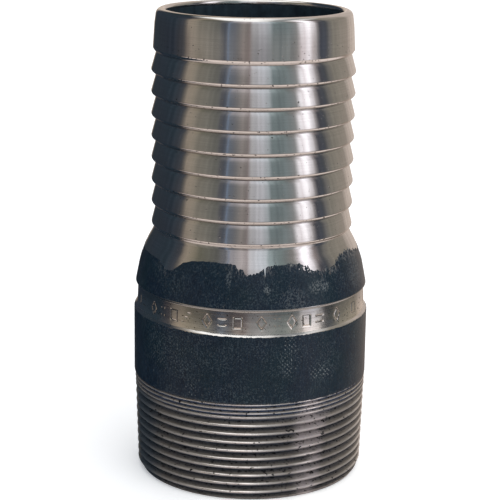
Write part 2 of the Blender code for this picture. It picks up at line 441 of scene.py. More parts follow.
# Plain punch marks round the groove: each is a list of strokes in millimetres,
# across and up from the mark's middle. None of them is a letter or a number.
DIAMOND = [((0, -1.6), (1.1, 0)), ((1.1, 0), (0, 1.6)), ((0, 1.6), (-1.1, 0)), ((-1.1, 0), (0, -1.6))]
BOX = [((-1, -1.3), (1, -1.3)), ((1, -1.3), (1, 1.3)), ((1, 1.3), (-1, 1.3)), ((-1, 1.3), (-1, -1.3))]
DASHES = [((-1, -0.8), (1, -0.8)), ((-1, 0.8), (1, 0.8))]
STEPS_UP = [((-1.2, -1.2), (-0.4, -1.2)), ((-0.4, 0), (0.4, 0)), ((0.4, 1.2), (1.2, 1.2))]
DOTS = [((x, y), (x, y + 0.05)) for x in (-0.6, 0.6) for y in (-0.9, 0.9)]
MARK_RUN = [DIAMOND, BOX, DASHES, DIAMOND, DOTS, BOX, STEPS_UP, DIAMOND, DASHES, BOX, DIAMOND, DOTS]
MARK_PITCH = 7.6
# Marks of the run with a wider gap after them
MARK_GAPS = {2, 6, 9}
MARK_START = -82
MARK_SPAN = 352
STROKE = 0.18
MARK_DEPTH = 0.14


def mark_depth(azimuth, height):
    """How deep the punch marks go at a place in the groove, from 0 to 1."""
    middle = (GROOVE_TOP[1] + GROOVE_BOTTOM[1]) / 2 - 0.1
    depth = np.zeros(np.broadcast(azimuth, height).shape)
    angle = MARK_START
    number = 0
    while angle < MARK_START + MARK_SPAN:
        strokes = MARK_RUN[number % len(MARK_RUN)]
        across = (np.mod(azimuth - angle + 180, 360) - 180) * math.radians(1) * GROOVE_TOP[0]
        up = height - middle
        for (left, low), (right, high) in strokes:
            run, rise = right - left, high - low
            along = ((across - left) * run + (up - low) * rise) / (run * run + rise * rise)
            share = np.clip(along, 0, 1)
            away = np.hypot(across - left - share * run, up - low - share * rise)
            depth = np.maximum(depth, 1 - smooth_step(away / STROKE))
        angle += MARK_PITCH * (1.5 if number % len(MARK_RUN) in MARK_GAPS else 1)
        number += 1
    return depth


def groove_rows():
    """The turned marking groove, with its punch marks, down to the pipe."""
    rubbed = patch_noise(120, GROOVE_BOTTOM[1], GROOVE_TOP[1], 6)
    rings = random.uniform(-1, 1, 40)
    into_groove = [
        (*SHOULDER_EDGE, 0),
        (SHOULDER_EDGE[0] - 0.02, SHOULDER_EDGE[1] - 0.12, 0),
        (*GROOVE_TOP, 0.25),
        (GROOVE_TOP[0] + 0.02, GROOVE_TOP[1] - 0.5, 0),
    ]
    rows = [ring(radius, height) for radius, height in rounded(into_groove)[1:-1]]
    around = azimuths(GROOVE_COLUMNS)
    for index, height in enumerate(np.linspace(GROOVE_TOP[1] - 0.25, GROOVE_BOTTOM[1], 32)):
        share = (GROOVE_TOP[1] - height) / (GROOVE_TOP[1] - GROOVE_BOTTOM[1])
        radius = GROOVE_TOP[0] + share * share * (GROOVE_BOTTOM[0] - GROOVE_TOP[0])
        uneven = GROOVE_RING * rings[index] + GROOVE_RUB * rubbed(around, height)
        radii = radius + uneven - MARK_DEPTH * mark_depth(around, height)
        rows.append((around, radii, height + 0 * around))
    out_of_groove = [
        (*GROOVE_BOTTOM, 0),
        (*GROOVE_STEP, 0.12),
        (UNDER_GRIP, GRIP_HIGH, 0),
        (UNDER_GRIP, THREAD_TOP, 0),
    ]
    return rows + [ring(radius, height) for radius, height in rounded(out_of_groove)[1:]]


def thread_rows():
    """The thread, whose rows climb with it and are cut off flat at both ends."""
    radius = make_thread_radius()
    around = azimuths(COLUMNS)
    phases = (0.0, 0.05, 0.1, 0.16, 0.25, 0.37, 0.46, 0.5, 0.54, 0.63, 0.75, 0.84, 0.9, 0.95)
    turns = range(math.ceil(THREAD_TOP / PITCH) + 1, -3, -1)
    rows = []
    for turn in turns:
        for phase in reversed(phases):
            heights = np.clip((turn + phase + around / 360) * PITCH, 0, THREAD_TOP)
            rows.append((around, radius(around, heights), heights))
    return rows


def bore_rows():
    """The end face and the bore, upwards."""
    covered = SCALE_FILM + SINK / 2
    return [ring(radius, height) for radius, height in (
        (PIPE_BORE + END_INNER_CHAMFER, 0),
        (PIPE_BORE, END_INNER_CHAMFER),
        (PIPE_BORE, SCALE_LOW - 0.02),
        (PIPE_BORE + covered, SCALE_LOW),
        (PIPE_BORE + covered, BORE_CONE[0]),
        (SHANK_BORE + covered, BORE_CONE[1]),
        (SHANK_BORE + covered, SCALE_HIGH - 0.02),
    )]


def make_steel():
    """The whole steel nipple as one closed piece."""
    rows = shank_rows() + shoulder_rows() + groove_rows() + thread_rows() + bore_rows()
    steel = skin_piece("turned_nipple", rows)
    azimuth, radius, height = polar(steel.data)
    lost = (crest_radius(azimuth, height) - radius) / thread_depth(height)
    on_thread = (height < THREAD_TOP) & (radius > PIPE_BORE + 1)
    set_attribute(steel.data, "valley", np.where(on_thread, np.clip(lost, 0, 1), 0))
    phase = thread_phase(azimuth, height)
    run_out = height > CHATTER_START + CHATTER_RAMP / 2
    phase = np.where(run_out, np.mod(2 * phase, 1), phase)
    # Painted shade: the thread's downward-facing flanks are marked here to get a darker colour
    faces_down = on_thread & (phase > 0.48) & (phase < 0.975)
    shade = np.where(run_out, 1, UNDERSIDE_SHADE)
    set_attribute(steel.data, "painted_underside_shade", np.where(faces_down, shade, 0))
    set_attribute(steel.data, "rubbed", np.where(on_thread, soft_patches(azimuth, height, THREAD_RUBS), 0))
    # Painted light: crest brightness by azimuth, partly real burnish, and painted shade on the flanks where
    # it is low
    turned = np.mod(azimuth - BURNISH_AND_PAINTED_LIGHT[0][0], 360) + BURNISH_AND_PAINTED_LIGHT[0][0]
    burnish_and_painted_light = np.interp(turned, *zip(*BURNISH_AND_PAINTED_LIGHT)) + RUN_OUT_BURNISH_AND_PAINTED_LIGHT * doubled(height)
    set_attribute(steel.data, "burnish_and_painted_light", np.clip(burnish_and_painted_light, 0, 1))
    level = (GROOVE_TOP[1] - height) / (GROOVE_TOP[1] - GROOVE_BOTTOM[1])
    set_attribute(steel.data, "down_groove", np.clip(level, 0, 1))
    in_groove = (height > GROOVE_BOTTOM[1]) & (height < GROOVE_TOP[1]) & (radius > PIPE_BORE + 1)
    set_attribute(steel.data, "mark", np.where(in_groove, mark_depth(azimuth, height), 0))
    above_edge = np.mod(height - LAST_EDGE + 0.3, STEP_PITCH)
    near_edge = np.clip(1 - np.abs(above_edge - 0.1) / 0.9, 0, 1)
    on_steps = (height > STEP_ZONE[0]) & (height < STEP_ZONE[1]) & (radius > STEP_ZONE_RADIUS)
    set_attribute(steel.data, "step", np.where(on_steps, near_edge, 0))
    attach(steel, "root")
    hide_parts("nipple_body")
    return steel


# ---------------------------------------------------------------- lacquer and scale

def film_piece(name, columns, low, high, outline, thickness, layers):
    """A thin closed skin between two edges, on a turned surface."""
    around = azimuths(columns)
    bottom, top = low(around), high(around)
    rows = []
    for share in np.linspace(1, 0, layers + 1):
        heights = bottom + share * (top - bottom)
        edge = np.minimum(top - heights, heights - bottom)
        fade = np.sqrt(np.clip(edge / FILM_EDGE, 0.0, 1.0))
        film = thickness(around, heights, top - heights) * (0.25 + 0.75 * fade)
        rows.append((around, outline(heights) - FILM + film, heights))
    rows.append((around, outline(bottom) - FILM - SINK, bottom))
    for height in np.linspace(bottom.max() + 0.3, top.min() - 0.3, 8):
        rows.append(ring(outline(height) - FILM - SINK, height))
    rows.append((around, outline(top) - FILM - SINK, top))
    return skin_piece(name, rows, sharp=50)


# Scuffed patches of the shoulder's lacquer, and patches where its torn edge is frayed into
# pale fibres: azimuth, height, half width in degrees, half height, strength
SCUFFS = [
    (36, 54.2, 7, 1.8, 0.3), (21, 52, 8, 3, 0.12), (8, 54.5, 2, 1.2, 0.3), (-11, 57, 1.5, 2.5, 0.2),
    (66, 55, 9, 4, 0.15), (147, 54, 8, 2, 0.35), (212, 55, 10, 3, 0.3),
]
FRAYED = [
    (45, 59, 12, 9, 0.6), (66, 60, 12, 9, 0.7), (-7, 59, 5, 9, 0.35), (8, 58, 4, 9, 0.45),
    (-52, 57, 6, 9, 0.25), (26, 60, 12, 9, 0.3), (135, 58, 14, 9, 0.5), (205, 58, 12, 9, 0.4),
]
FRAYED_REACH = 2.4
# How many flakes are lost just below the torn edge, by azimuth
FLAKING = [
    (-81, 0.1), (-15, 0.3), (-5, 0.8), (15, 0.7), (30, 1.2), (60, 1.7), (85, 1.2), (110, 0.5),
    (200, 0.8), (279, 0.1),
]
# A lost flake leaves the film this far under the steel
FLAKE_SINK = 0.012


def make_shoulder_film():
    """The shoulder's lacquer with its torn upper edge."""
    lumps = patch_noise(220, SHOULDER_LOW, 61, 24)
    nibble = ring_noise(420, smooth=False)
    flakes = patch_noise(420, SHOULDER_LOW, 61, 40)
    flaky = ring_noise(17)
    torn_edge = torn_height()

    def thickness(azimuth, height, below_edge):
        film = FILM * (0.86 + 0.14 * lumps(azimuth, height))
        reach = np.clip(0.9 + 0.8 * flaky(azimuth), 0.2, 2)
        flaking = np.interp(from_torn_start(azimuth), *zip(*FLAKING))
        lost = flakes(azimuth, height) * flaking > 0.30 + 0.5 * below_edge / reach
        return np.where(lost & (below_edge > 0.05), -FLAKE_SINK, film)

    film = film_piece(
        "torn_shoulder_lacquer", SHOULDER_FILM_COLUMNS,
        lambda azimuth: SHOULDER_LOW + 0.05 * np.clip(nibble(azimuth), 0, 1),
        torn_edge, shoulder_outline, thickness, 48,
    )
    turn, _, height = polar(film.data)
    set_attribute(film.data, "bitten", soft_patches(turn, height, SCUFFS))
    near_edge = np.clip(1 - (torn_edge(turn) - height) / FRAYED_REACH, 0, 1)
    set_attribute(film.data, "frayed", near_edge * soft_patches(turn, height, FRAYED))
    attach(film, "root")
    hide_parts("shoulder_lacquer")
    return film


# Patches of tooth marks that vice jaws left, in the same columns
JAW_MARKS = [
    (19, 37.5, 5, 6, 0.8), (36, 32.5, 7, 2.5, 1), (-28, 28.5, 4, 2, 0.9), (-42, 36, 20, 7, 0.24),
    (-8, 38, 8, 4, 0.16), (34, 37.5, 12, 5, 0.22), (150, 35, 12, 6, 0.8), (216, 34, 10, 5, 0.7),
]
JAW_PITCH = 1.1
JAW_BITE = 0.5


def jaw_teeth(azimuth, height):
    """Two crossing families of tooth lines, 0 between them and 1 on them."""
    across = np.radians(azimuth) * PIPE_RADIUS
    return [np.abs(np.mod((across + side * height) / JAW_PITCH, 1) - 0.5) * 2 for side in (1, -1)]


def jaw_marks(azimuth, height):
    """Depth of the crossing tooth marks, from 0 to 1."""
    lines = smooth_step((np.maximum(*jaw_teeth(azimuth, height)) - 0.75) / 0.25)
    return lines * soft_patches(azimuth, height, JAW_MARKS)


def jaw_points(azimuth, height):
    """The points of the teeth, where the lacquer is bruised pale."""
    points = smooth_step((np.minimum(*jaw_teeth(azimuth, height)) - 0.55) / 0.3)
    return points * soft_patches(azimuth, height, JAW_MARKS)


def make_grip_film():
    """The grip band's lacquer, bitten by vice jaws."""
    lumps = patch_noise(160, GRIP_LOW, GRIP_HIGH, 40)
    low_edge = ring_noise(300, smooth=False)
    high_edge = ring_noise(500, smooth=False)

    def thickness(azimuth, height, below_edge):
        bite = JAW_BITE * jaw_marks(azimuth, height)
        return FILM * (0.88 + 0.12 * lumps(azimuth, height) - bite)

    film = film_piece(
        "jaw_marked_grip_lacquer", GRIP_FILM_COLUMNS,
        lambda azimuth: GRIP_LOW - GRIP_HANG + 0.12 * low_edge(azimuth),
        lambda azimuth: GRIP_HIGH + 0.02 + 0.12 * high_edge(azimuth),
        lambda height: PIPE_RADIUS + 0 * height, thickness, 64,
    )
    turn, _, height = polar(film.data)
    set_attribute(film.data, "bitten", jaw_points(turn, height))
    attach(film, "root")
    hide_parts("grip_lacquer")
    return film


def make_bore_film():
    """The dark scale in the bore."""
    flakes = patch_noise(90, SCALE_LOW, SCALE_HIGH, 30)
    rows = []
    levels = np.concatenate([np.linspace(SCALE_HIGH, BORE_CONE[1], 22),
                             np.linspace(BORE_CONE[1], BORE_CONE[0], 8)[1:],
                             np.linspace(BORE_CONE[0], SCALE_LOW, 12)[1:]])
    around = azimuths(COLUMNS)
    for height in levels:
        radius = np.interp(height, BORE_CONE, (PIPE_BORE, SHANK_BORE))
        rows.append((around, radius + SCALE_FILM + 0 * around, height + 0 * around))
    for height in levels[::-1]:
        radius = np.interp(height, BORE_CONE, (PIPE_BORE, SHANK_BORE))
        rows.append((around, radius + 0.01 * flakes(around, height), height + 0 * around))
    film = skin_piece("bore_mill_scale", rows)
    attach(film, "root")
    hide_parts("bore_scale")
    return film


# ---------------------------------------------------------------- materials

class Tree:
    """A short way to add and join shader nodes."""

    def __init__(self, nodes_owner):
        nodes_owner.use_nodes = True
        self.tree = nodes_owner.node_tree
        self.tree.nodes.clear()

    def add(self, kind, settings=None, **inputs):
        node = self.tree.nodes.new(kind)
        for name, value in (settings or {}).items():
            setattr(node, name, value)
        for name, value in inputs.items():
            self.put(node, name.replace("_", " "), value)
        return node

    def put(self, node, name, value):
        socket = node.inputs[int(name) if name.isdigit() else name]
        if isinstance(value, bpy.types.NodeSocket):
            self.tree.links.new(value, socket)
        else:
            socket.default_value = value

    def math(self, operation, first, second=0.0, third=0.0):
        node = self.add("ShaderNodeMath", {"operation": operation})
        for index, value in enumerate((first, second, third)):
            self.put(node, str(index), value)
        return node.outputs[0]

    def stretched(self, across, along):
        """Object coordinates, scaled across and along the nipple, per metre."""
        place = self.add("ShaderNodeTexCoord").outputs["Object"]
        node = self.add("ShaderNodeMapping", Vector=place)
        node.inputs["Scale"].default_value = (across, across, along)
        return node.outputs[0]

    def noise(self, vector, detail=3.0, roughness=0.55):
        node = self.add("ShaderNodeTexNoise", Vector=vector, Detail=detail, Roughness=roughness)
        node.inputs["Scale"].default_value = 1.0
        return node.outputs["Fac"]

    def ramp(self, value, low, high):
        """0 at low, 1 at high."""
        node = self.add("ShaderNodeMapRange", Value=value)
        node.inputs["From Min"].default_value = low
        node.inputs["From Max"].default_value = high
        return node.outputs[0]

    def mix(self, share, first, second):
        node = self.add("ShaderNodeMix", {"data_type": "RGBA"})
        self.put(node, "0", share)
        self.put(node, "6", first)
        self.put(node, "7", second)
        return node.outputs[2]

    def attribute(self, name):
        return self.add("ShaderNodeAttribute", {"attribute_name": name}).outputs["Fac"]

    def bump(self, height, distance, strength=1.0, before=None):
        node = self.add("ShaderNodeBump", Height=height, Distance=distance, Strength=strength)
        if before is not None:
            self.put(node, "Normal", before)
        return node.outputs[0]

    def surface(self, colour, roughness, metallic, normal, **fixed):
        shader = self.add("ShaderNodeBsdfPrincipled", Base_Color=colour, Roughness=roughness,
                          Metallic=metallic, Normal=normal)
        for name, value in fixed.items():
            self.put(shader, name.replace("_", " "), value)
        output = self.add("ShaderNodeOutputMaterial")
        self.tree.links.new(shader.outputs[0], output.inputs["Surface"])
        return shader


def new_material(name):
    """An empty node material, and the tree to fill."""
    material = bpy.data.materials.new(name)
    return material, Tree(material)


def grey(level, warm=0.0):
    """A nearly neutral colour."""
    return (level * (1 + warm), level, level * (1 - warm), 1.0)


def turned_steel():
    """Bright steel with faint lathe rings, streaks and a few dark pits at its steps."""
    material, tree = new_material("turned_steel_finish")
    fine = tree.noise(tree.stretched(45, 6500), 2.0)
    coarse = tree.noise(tree.stretched(14, 1500), 2.0)
    blotch = tree.noise(tree.stretched(260, 200), 4.0)
    near_step = tree.attribute("step")
    speck = tree.noise(tree.stretched(1500, 1900), 1.0)
    pits = tree.ramp(tree.math("ADD", speck, tree.math("MULTIPLY", near_step, 0.112)), 0.768, 0.786)
    colour = tree.mix(tree.ramp(fine, 0.3, 0.7), grey(0.59, 0.01), grey(0.66, 0.01))
    colour = tree.mix(tree.math("MULTIPLY", tree.ramp(blotch, 0.45, 0.75), 0.30), colour, grey(0.48, 0.03))
    colour = tree.mix(pits, colour, (0.012, 0.010, 0.012, 1))
    roughness = tree.math("ADD", 0.06, tree.math("MULTIPLY", blotch, 0.09))
    normal = tree.bump(fine, 0.000005, 0.5)
    normal = tree.bump(coarse, 0.00002, 0.3, normal)
    normal = tree.bump(pits, 0.0001, 0.5, normal)
    shader = tree.surface(colour, roughness, 1.0, normal, Anisotropic=0.6, Anisotropic_Rotation=0.25)
    tangent = tree.add("ShaderNodeTangent", {"direction_type": "RADIAL", "axis": "Z"})
    tree.tree.links.new(tangent.outputs[0], shader.inputs["Tangent"])
    return material


def groove_steel():
    """The duller, rubbed steel of the marking groove, darker in its marks and near its top."""
    material, tree = new_material("groove_steel_finish")
    fine = tree.noise(tree.stretched(40, 2600), 3.0)
    blotch = tree.noise(tree.stretched(300, 420), 5.0, 0.65)
    specks = tree.ramp(tree.noise(tree.stretched(2400, 2400), 2.0), 0.65, 0.70)
    uneven = tree.math("MULTIPLY", tree.math("SUBTRACT", blotch, 0.5), 0.9)
    level = tree.math("ADD", tree.attribute("down_groove"), uneven)
    colour = tree.mix(tree.ramp(level, 0.1, 0.95), (0.42, 0.43, 0.43, 1), (0.80, 0.78, 0.72, 1))
    colour = tree.mix(tree.math("MULTIPLY", tree.ramp(fine, 0.5, 0.75), 0.35), colour, grey(0.24, 0.06))
    in_mark = tree.math("MULTIPLY", tree.ramp(tree.attribute("mark"), 0.35, 0.9), 0.75)
    colour = tree.mix(in_mark, colour, grey(0.05, 0.1))
    colour = tree.mix(specks, colour, grey(0.04, 0.1))
    roughness = tree.math("ADD", 0.08, tree.math("MULTIPLY", blotch, 0.16))
    normal = tree.bump(blotch, 0.00006, 0.5, tree.bump(fine, 0.00002, 0.5))
    tree.surface(colour, roughness, 1.0, normal)
    return material


def thread_steel():
    """Cut thread: grey flanks, crests that are burnished and carry painted highlight, painted shade on
    undersides, in roots and on one side, worn stretches and black pits.
    """
    material, tree = new_material("thread_steel_finish")
    valley = tree.attribute("valley")
    painted_underside_shade = tree.attribute("painted_underside_shade")
    fine = tree.noise(tree.stretched(150, 3200), 3.0)
    blotch = tree.noise(tree.stretched(300, 380), 4.0)
    patch = tree.noise(tree.stretched(90, 120), 3.0)
    rubbed = tree.math("MULTIPLY", tree.attribute("rubbed"), tree.ramp(patch, 0.40, 0.58))
    pits = tree.ramp(tree.noise(tree.stretched(1500, 1900), 1.5), 0.59, 0.63)
    hole_field = tree.noise(tree.stretched(1000, 1300), 1.0)
    holes = tree.math("MULTIPLY_ADD", tree.ramp(patch, 0.5, 0.75), 0.08, hole_field)
    holes = tree.ramp(holes, 0.700, 0.718)
    crest = tree.ramp(tree.math("ADD", valley, tree.math("MULTIPLY", blotch, 0.12)), 0.30, 0.16)
    in_root = tree.ramp(valley, 0.3, 0.75)
    dirt = tree.math("MULTIPLY", pits, tree.math("ADD", 0.12, tree.math("MULTIPLY", in_root, 0.88)))
    dirt = tree.math("MAXIMUM", dirt, holes)
    flank = tree.mix(tree.ramp(fine, 0.3, 0.7), (0.11, 0.095, 0.080, 1), (0.21, 0.185, 0.16, 1))
    # Painted shade: the flanks darken towards the thread's roots
    flank = tree.mix(tree.math("MULTIPLY", in_root, 0.65), flank, (0.06, 0.066, 0.08, 1))
    # Painted shade: the downward-facing flanks turn dark navy
    flank = tree.mix(tree.math("MULTIPLY", painted_underside_shade, 0.9), flank, (0.03, 0.055, 0.11, 1))
    flank = tree.mix(tree.math("MULTIPLY", rubbed, 0.85), flank, (0.36, 0.32, 0.32, 1))
    burnish_and_painted_light = tree.attribute("burnish_and_painted_light")
    # Painted shade: the flanks darken where the crests are least burnished, on the thread's darker side
    painted_side_shade = tree.math("MULTIPLY", tree.ramp(burnish_and_painted_light, 0.12, 0), 0.8)
    flank = tree.mix(painted_side_shade, flank, (0.03, 0.055, 0.08, 1))
    # Painted shade: the undersides also lose the crests' bright colour
    shaded = tree.math("MULTIPLY", tree.ramp(painted_underside_shade, 0, UNDERSIDE_SHADE), 0.8)
    lit = tree.math("MULTIPLY", crest, tree.math("SUBTRACT", 1.0, shaded))
    # Painted highlight: the crests' bright colour varies round the thread
    lit = tree.math("MULTIPLY", lit, burnish_and_painted_light)
    colour = tree.mix(lit, flank, tree.mix(rubbed, (0.80, 0.76, 0.73, 1), (0.52, 0.49, 0.49, 1)))
    colour = tree.mix(dirt, colour, (0.006, 0.006, 0.008, 1))
    roughness = tree.math("SUBTRACT", 0.5, tree.math("MULTIPLY", lit, 0.3))
    roughness = tree.math("ADD", roughness, tree.math("MULTIPLY", tree.math("MULTIPLY", rubbed, lit), 0.22))
    metallic = tree.math("ADD", 0.4, tree.math("MULTIPLY", lit, 0.6))
    normal = tree.bump(blotch, 0.00006, 0.5, tree.bump(fine, 0.00004, 0.5))
    tree.surface(colour, roughness, metallic, normal)
    return material


def black_lacquer():
    """Satin blue-black lacquer with upright streaks, pale specks and fine scratches."""
    material, tree = new_material("black_lacquer_finish")
    streak = tree.noise(tree.stretched(2300, 420), 3.0, 0.6)
    mottle = tree.noise(tree.stretched(2600, 2100), 3.0, 0.6)
    cloud = tree.noise(tree.stretched(110, 90), 3.0)
    where = tree.ramp(tree.noise(tree.stretched(130, 130), 2.0), 0.42, 0.62)
    specks = tree.math("MULTIPLY", tree.ramp(mottle, 0.50, 0.64), tree.math("ADD", 0.45, where))
    chips = tree.ramp(tree.noise(tree.stretched(2100, 1700), 1.5), 0.67, 0.71)
    hair_field = tree.noise(tree.stretched(320, 300), 1.0)
    hair = tree.ramp(tree.math("ABSOLUTE", tree.math("SUBTRACT", hair_field, 0.56)), 0.005, 0.001)
    short = tree.ramp(tree.noise(tree.stretched(520, 520), 1.0), 0.54, 0.62)
    colour = tree.mix(tree.ramp(streak, 0.35, 0.7), (0.0004, 0.006, 0.016, 1), (0.005, 0.0155, 0.030, 1))
    cloudy = tree.math("MULTIPLY", tree.ramp(cloud, 0.4, 0.65), 0.5)
    colour = tree.mix(cloudy, colour, (0.001, 0.014, 0.020, 1))
    colour = tree.mix(tree.math("MULTIPLY", specks, 0.3), colour, (0.06, 0.08, 0.09, 1))
    scratches = tree.math("MULTIPLY", tree.math("MULTIPLY", hair, short), 0.3)
    colour = tree.mix(scratches, colour, (0.12, 0.14, 0.14, 1))
    colour = tree.mix(tree.math("MULTIPLY", chips, 0.3), colour, (0.09, 0.09, 0.085, 1))
    bruised = tree.math("MULTIPLY", tree.attribute("bitten"), tree.ramp(mottle, 0.46, 0.56))
    colour = tree.mix(tree.math("MULTIPLY", bruised, 0.9), colour, (0.25, 0.27, 0.27, 1))
    fibre = tree.ramp(tree.noise(tree.stretched(2600, 260), 2.0), 0.53, 0.62)
    frayed = tree.math("MULTIPLY", fibre, tree.attribute("frayed"))
    colour = tree.mix(frayed, colour, (0.22, 0.21, 0.20, 1))
    roughness = tree.math("ADD", 0.24, tree.math("MULTIPLY", mottle, 0.22))
    normal = tree.bump(mottle, 0.00006, 0.6, tree.bump(streak, 0.00006, 0.6))
    tree.surface(colour, roughness, 0.0, normal, Specular_IOR_Level=0.3)
    return material


def mill_scale():
    """Dull blue-black scale."""
    material, tree = new_material("mill_scale_finish")
    mottle = tree.noise(tree.stretched(500, 300), 5.0, 0.65)
    runs = tree.noise(tree.stretched(420, 30), 3.0)
    colour = tree.mix(tree.ramp(mottle, 0.3, 0.7), (0.003, 0.009, 0.016, 1), (0.018, 0.036, 0.050, 1))
    stained = tree.math("MULTIPLY", tree.ramp(runs, 0.5, 0.8), 0.5)
    colour = tree.mix(stained, colour, (0.025, 0.034, 0.036, 1))
    roughness = tree.math("ADD", 0.5, tree.math("MULTIPLY", mottle, 0.3))
    tree.surface(colour, roughness, 0.0, tree.bump(mottle, 0.0001, 0.5), Specular_IOR_Level=0.25)
    return material


def paint_steel(steel):
    """Give each stretch of the steel its own finish."""
    for material in (turned_steel(), groove_steel(), thread_steel()):
        steel.data.materials.append(material)
    for face in steel.data.polygons:
        height = face.center.z * 1000
        outside = math.hypot(face.center.x, face.center.y) * 1000 > PIPE_BORE + 0.5
        if GROOVE_BOTTOM[1] - 0.05 < height < SHOULDER_EDGE[1] - 0.05 and outside:
            face.material_index = 1
        elif height < THREAD_TOP + 0.5 and outside:
            face.material_index = 2


# ---------------------------------------------------------------- studio

# What the steel mirrors, as azimuths round the nipple and the colours that stand there
# in the room: near the floor, just below eye level, just above it, and high up
WALLS = [
    (-170, (0.10, 0.09, 0.09), (0.60, 0.48, 0.38), (0.78, 0.66, 0.56), (0.45, 0.35, 0.26)),
    (-161, (0.03, 0.04, 0.06), (0.04, 0.05, 0.06), (0.04, 0.05, 0.07), (0.03, 0.05, 0.06)),
    (-104, (0.03, 0.05, 0.07), (0.04, 0.05, 0.07), (0.04, 0.06, 0.08), (0.05, 0.06, 0.08)),
    (-90, (0.06, 0.06, 0.08), (0.08, 0.08, 0.09), (0.08, 0.09, 0.11), (0.09, 0.09, 0.10)),
    (-86, (0.16, 0.14, 0.13), (0.10, 0.10, 0.11), (0.16, 0.15, 0.14), (0.46, 0.38, 0.30)),
    (-81, (0.40, 0.33, 0.27), (0.26, 0.22, 0.19), (0.44, 0.37, 0.30), (0.44, 0.37, 0.29)),
    (-75, (0.43, 0.35, 0.28), (0.44, 0.37, 0.31), (0.47, 0.40, 0.32), (0.37, 0.32, 0.24)),
    (-66, (0.30, 0.26, 0.20), (0.41, 0.36, 0.30), (0.33, 0.30, 0.25), (0.22, 0.21, 0.16)),
    (-41, (0.12, 0.12, 0.11), (0.33, 0.31, 0.28), (0.22, 0.22, 0.20), (0.18, 0.18, 0.17)),
    (-38, (0.08, 0.08, 0.10), (0.26, 0.25, 0.24), (0.14, 0.14, 0.15), (0.20, 0.20, 0.21)),
    (-32, (0.05, 0.06, 0.09), (0.23, 0.23, 0.25), (0.14, 0.15, 0.18), (0.30, 0.30, 0.32)),
    (-26, (0.07, 0.08, 0.10), (0.28, 0.30, 0.34), (0.20, 0.23, 0.28), (0.52, 0.50, 0.54)),
    (-19, (0.11, 0.10, 0.11), (0.28, 0.27, 0.27), (0.25, 0.25, 0.26), (0.58, 0.54, 0.55)),
    (-12, (0.14, 0.12, 0.13), (0.41, 0.35, 0.33), (0.39, 0.35, 0.33), (0.72, 0.65, 0.65)),
    (-5, (0.18, 0.15, 0.16), (0.37, 0.31, 0.29), (0.34, 0.30, 0.29), (0.67, 0.60, 0.60)),
    (-1, (0.36, 0.34, 0.35), (0.42, 0.41, 0.42), (0.66, 0.65, 0.67), (0.94, 0.93, 0.98)),
    (11, (0.38, 0.37, 0.38), (0.46, 0.45, 0.48), (0.76, 0.76, 0.81), (0.96, 1.00, 1.08)),
    (18, (0.32, 0.33, 0.34), (0.36, 0.37, 0.38), (0.54, 0.59, 0.62), (0.82, 0.87, 0.93)),
    (22, (0.25, 0.28, 0.30), (0.34, 0.36, 0.36), (0.26, 0.32, 0.33), (0.52, 0.62, 0.64)),
    (38, (0.25, 0.29, 0.29), (0.34, 0.36, 0.36), (0.26, 0.31, 0.32), (0.26, 0.32, 0.32)),
    (44, (0.32, 0.34, 0.35), (0.33, 0.33, 0.33), (0.36, 0.40, 0.41), (0.30, 0.33, 0.33)),
    (50, (0.45, 0.44, 0.44), (0.38, 0.36, 0.35), (0.37, 0.37, 0.37), (0.30, 0.29, 0.28)),
    (54, (1.20, 1.12, 1.12), (0.95, 0.84, 0.85), (1.35, 1.30, 1.35), (0.42, 0.40, 0.38)),
    (59, (1.30, 1.20, 1.25), (1.15, 1.05, 1.08), (1.65, 1.58, 1.65), (0.85, 0.80, 0.82)),
    (65, (1.40, 1.33, 1.40), (1.50, 1.41, 1.48), (2.00, 1.93, 2.00), (2.20, 2.10, 2.25)),
    (70, (1.20, 1.15, 1.18), (0.85, 0.76, 0.75), (1.45, 1.38, 1.45), (2.40, 2.30, 2.45)),
    (76, (0.50, 0.47, 0.47), (0.28, 0.27, 0.28), (0.50, 0.46, 0.46), (1.30, 1.22, 1.28)),
    (80, (0.12, 0.12, 0.12), (0.09, 0.10, 0.13), (0.10, 0.10, 0.12), (0.60, 0.50, 0.48)),
    (88, (0.11, 0.12, 0.12), (0.11, 0.12, 0.15), (0.10, 0.11, 0.13), (0.13, 0.13, 0.14)),
    (102, (0.30, 0.28, 0.24), (0.38, 0.35, 0.30), (0.36, 0.33, 0.28), (0.37, 0.34, 0.29)),
    (130, (0.43, 0.37, 0.30), (0.48, 0.41, 0.35), (0.42, 0.37, 0.31), (0.45, 0.41, 0.35)),
    (143, (0.73, 0.60, 0.52), (0.78, 0.66, 0.58), (0.74, 0.63, 0.56), (0.78, 0.66, 0.58)),
]
# Narrow upright stripes in front of them: azimuth, half width in degrees, colour, strength
STRIPES = [
    (-28.5, 1.6, (0.28, 0.36, 0.50), 0.7), (-33, 1.5, (0.10, 0.12, 0.16), 0.5),
    (-22, 1.2, (0.12, 0.12, 0.16), 0.35), (-5, 1.5, (0.34, 0.26, 0.26), 0.5),
    (30, 1.5, (0.16, 0.20, 0.22), 0.4), (59, 1.5, (1.0, 0.85, 0.88), 0.5),
]
# The ceiling, by its place from left (-1) to right (1)
CEILING = [
    (-0.80, (0.50, 0.42, 0.34)), (-0.50, (0.42, 0.37, 0.31)), (-0.40, (1.60, 1.57, 1.53)),
    (0.04, (1.60, 1.58, 1.55)), (0.20, (1.05, 1.03, 1.00)), (0.28, (0.42, 0.43, 0.43)),
    (0.42, (0.42, 0.43, 0.43)), (0.48, (1.20, 1.17, 1.15)), (0.58, (1.20, 1.17, 1.15)),
    (0.68, (0.35, 0.32, 0.28)),
]
FLOOR_EDGE = (0.34, 0.26, 0.21, 1)
FLOOR = (1.04, 0.89, 0.82, 1)
